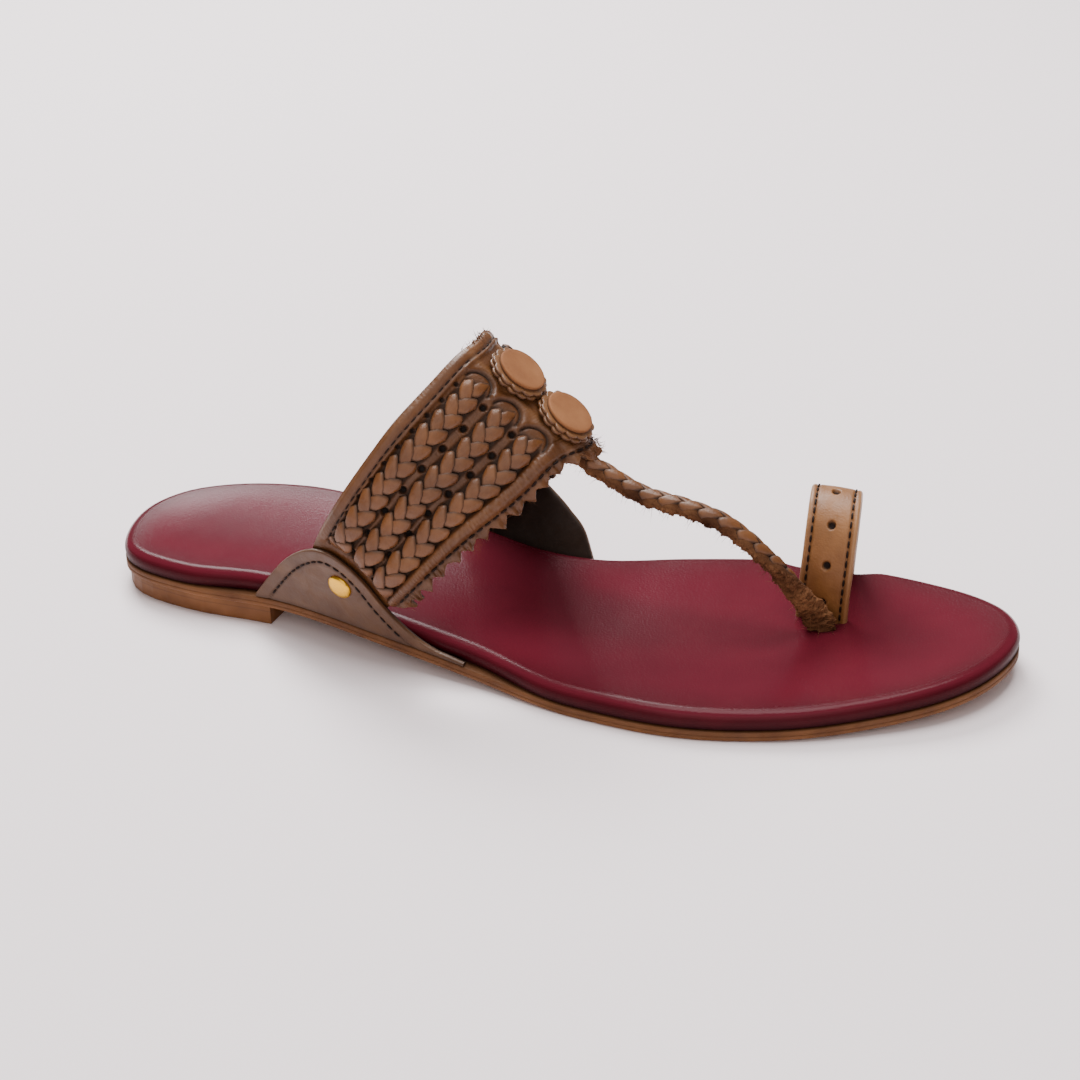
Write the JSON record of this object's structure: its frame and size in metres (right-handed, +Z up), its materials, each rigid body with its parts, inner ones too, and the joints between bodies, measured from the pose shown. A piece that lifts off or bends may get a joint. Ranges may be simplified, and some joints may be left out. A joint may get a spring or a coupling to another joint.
{
  "type": "kolhapuri sandal",
  "caption": "Flat leather toe-ring sandal with a braided instep band, rosettes on its crest and a plaited toe cord.",
  "frame": {"origin": "on the floor, at the middle of the heel block's ground face", "axes": "+X from heel to toe, +Y to the big toe's side, +Z up; a right shoe"},
  "size_m": [0.25, 0.0888, 0.0805],
  "materials": {
    "sole_leather": "tan vegetable-tanned sheet, satin cut edge",
    "heel_leather": "stacked tan leather, sanded and stained",
    "insole_leather": "smooth burgundy lining, soft sheen",
    "band_leather": "waxed brown cowhide, fine grain",
    "wing_leather": "smooth grey-brown cowhide, satin",
    "cap_leather": "buffed brown leather, matt",
    "cord_leather": "plaited brown lace, raw flesh side below",
    "brass": "polished"
  },
  "bodies": {
    "root": {"outsole": "sole_leather", "heel_block": "heel_leather", "insole": "insole_leather", "upper_band": "band_leather", "wing_lateral": "wing_leather", "wing_medial": "wing_leather", "rivet_lateral": "brass", "rivet_medial": "brass", "rosette_base_rear": "band_leather", "rosette_base_front": "band_leather", "rosette_cap_rear": "cap_leather", "rosette_cap_front": "cap_leather", "toe_cord": "cord_leather", "toe_ring": "band_leather"}
  },
  "joints": []
}
